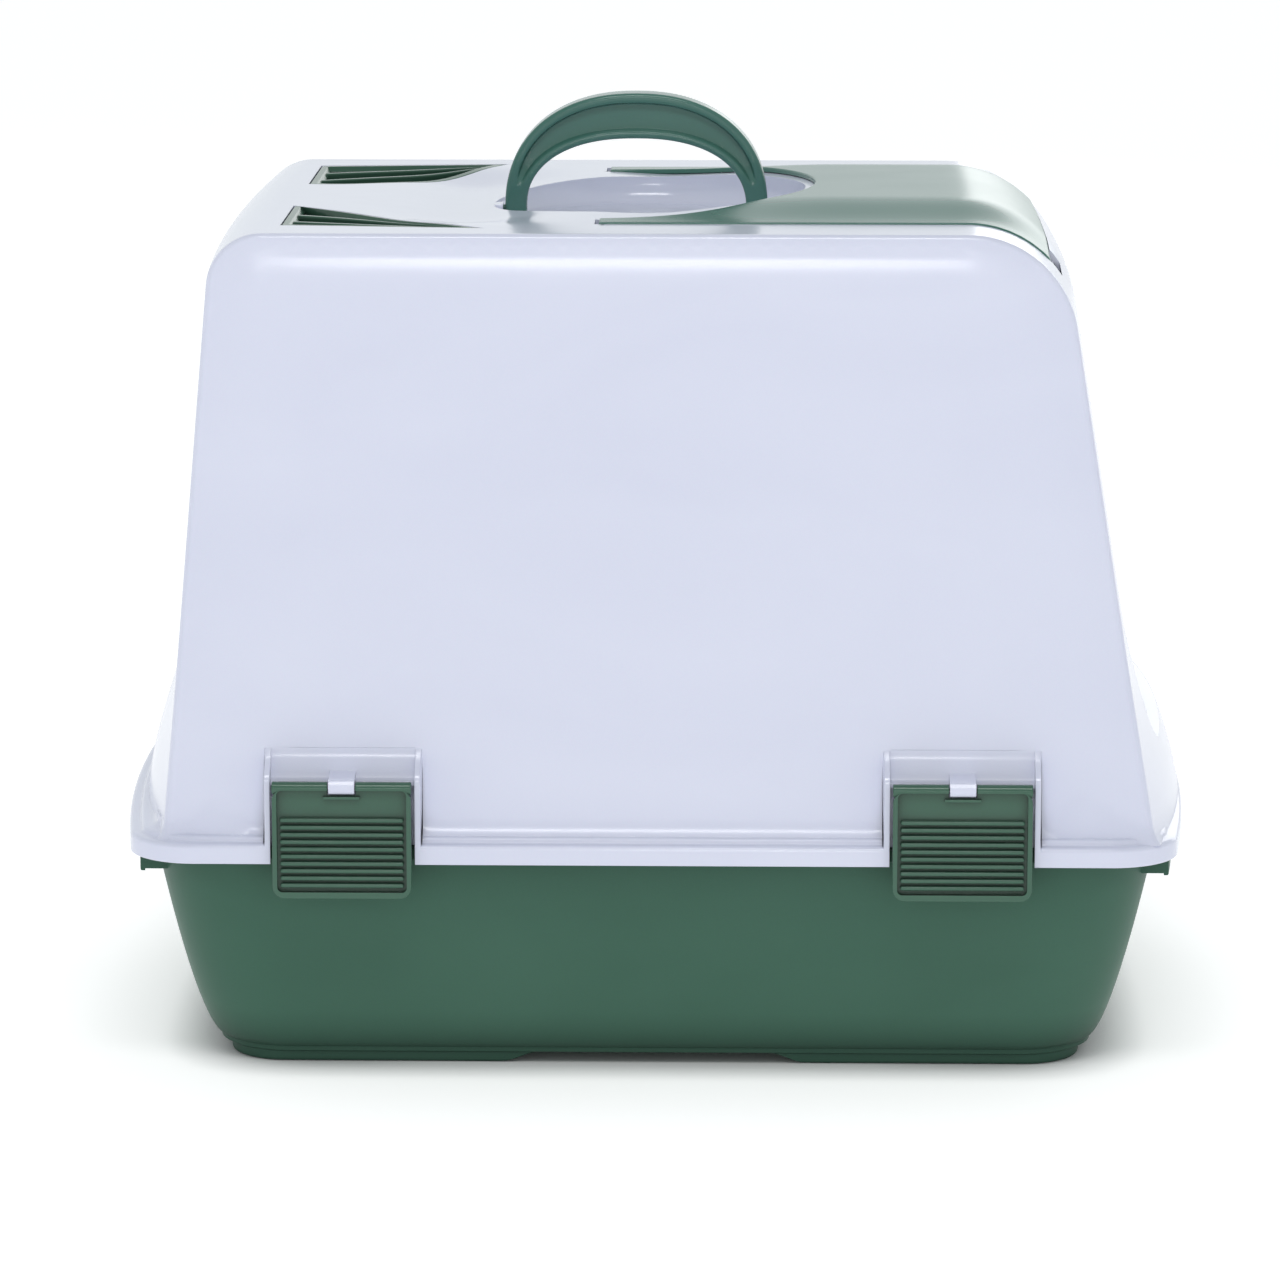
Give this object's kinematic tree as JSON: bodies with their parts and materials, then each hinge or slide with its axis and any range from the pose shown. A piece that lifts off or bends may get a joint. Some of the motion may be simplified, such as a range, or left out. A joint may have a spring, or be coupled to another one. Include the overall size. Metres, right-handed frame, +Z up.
{
  "type": "cat litter box with hood",
  "caption": "Hooded cat litter box: tapered tray, clip-on hood with bowed ends, hinged top flap, folding carry handle, swing door and leaf-shaped carbon filter vents.",
  "frame": {"origin": "on the floor, under the middle of the box", "axes": "+X towards the entrance end, +Y towards the far long side, +Z up"},
  "size_m": [0.546, 0.403, 0.479],
  "materials": {
    "green_plastic": "dark sage green moulded polypropylene, semi gloss",
    "white_plastic": "cool white moulded polypropylene, high gloss",
    "smoked_plastic": "smoked translucent styrene, polished",
    "carbon_foam": "open black carbon-loaded foam"
  },
  "bodies": {
    "tray": {"litter_tray": "green_plastic"},
    "hood": {"hood_shell": "white_plastic", "vent_grille_near": "green_plastic", "vent_grille_far": "green_plastic", "filter_pad_near": "carbon_foam", "filter_pad_far": "carbon_foam", "filter_cover_near": "white_plastic", "filter_cover_far": "white_plastic"},
    "flap": {"top_flap": "green_plastic"},
    "handle": {"carry_handle": "green_plastic"},
    "door": {"entrance_door": "smoked_plastic"},
    "clip_nr": {"clip_near_rear": "green_plastic"},
    "clip_nf": {"clip_near_front": "green_plastic"},
    "clip_fr": {"clip_far_rear": "green_plastic"},
    "clip_ff": {"clip_far_front": "green_plastic"}
  },
  "joints": [
    {"name": "hood_lift", "type": "slide", "parent": "tray", "child": "hood", "axis": [0, 0, 1], "range_m": [0, 0.3]},
    {"name": "flap_hinge", "type": "hinge", "parent": "hood", "child": "flap", "pos_m": [-0.026, 0, 0.4237], "axis": [0, -1, 0], "range_deg": [0, 100]},
    {"name": "handle_fold", "type": "hinge", "parent": "hood", "child": "handle", "pos_m": [-0.0124, 0, 0.419], "axis": [1, 0, 0], "range_deg": [-75, 75]},
    {"name": "door_swing", "type": "hinge", "parent": "hood", "child": "door", "pos_m": [0.21055, 0, 0.35], "axis": [0, 1, 0], "range_deg": [-75, 75]},
    {"name": "clip_near_rear_hinge", "type": "hinge", "parent": "hood", "child": "clip_nr", "pos_m": [-0.1535, -0.1982, 0.154], "axis": [-1, 0, 0], "range_deg": [0, 90]},
    {"name": "clip_near_front_hinge", "type": "hinge", "parent": "hood", "child": "clip_nf", "pos_m": [0.1535, -0.1982, 0.154], "axis": [-1, 0, 0], "range_deg": [0, 90]},
    {"name": "clip_far_rear_hinge", "type": "hinge", "parent": "hood", "child": "clip_fr", "pos_m": [-0.1535, 0.1982, 0.154], "axis": [1, 0, 0], "range_deg": [0, 90]},
    {"name": "clip_far_front_hinge", "type": "hinge", "parent": "hood", "child": "clip_ff", "pos_m": [0.1535, 0.1982, 0.154], "axis": [1, 0, 0], "range_deg": [0, 90]}
  ]
}
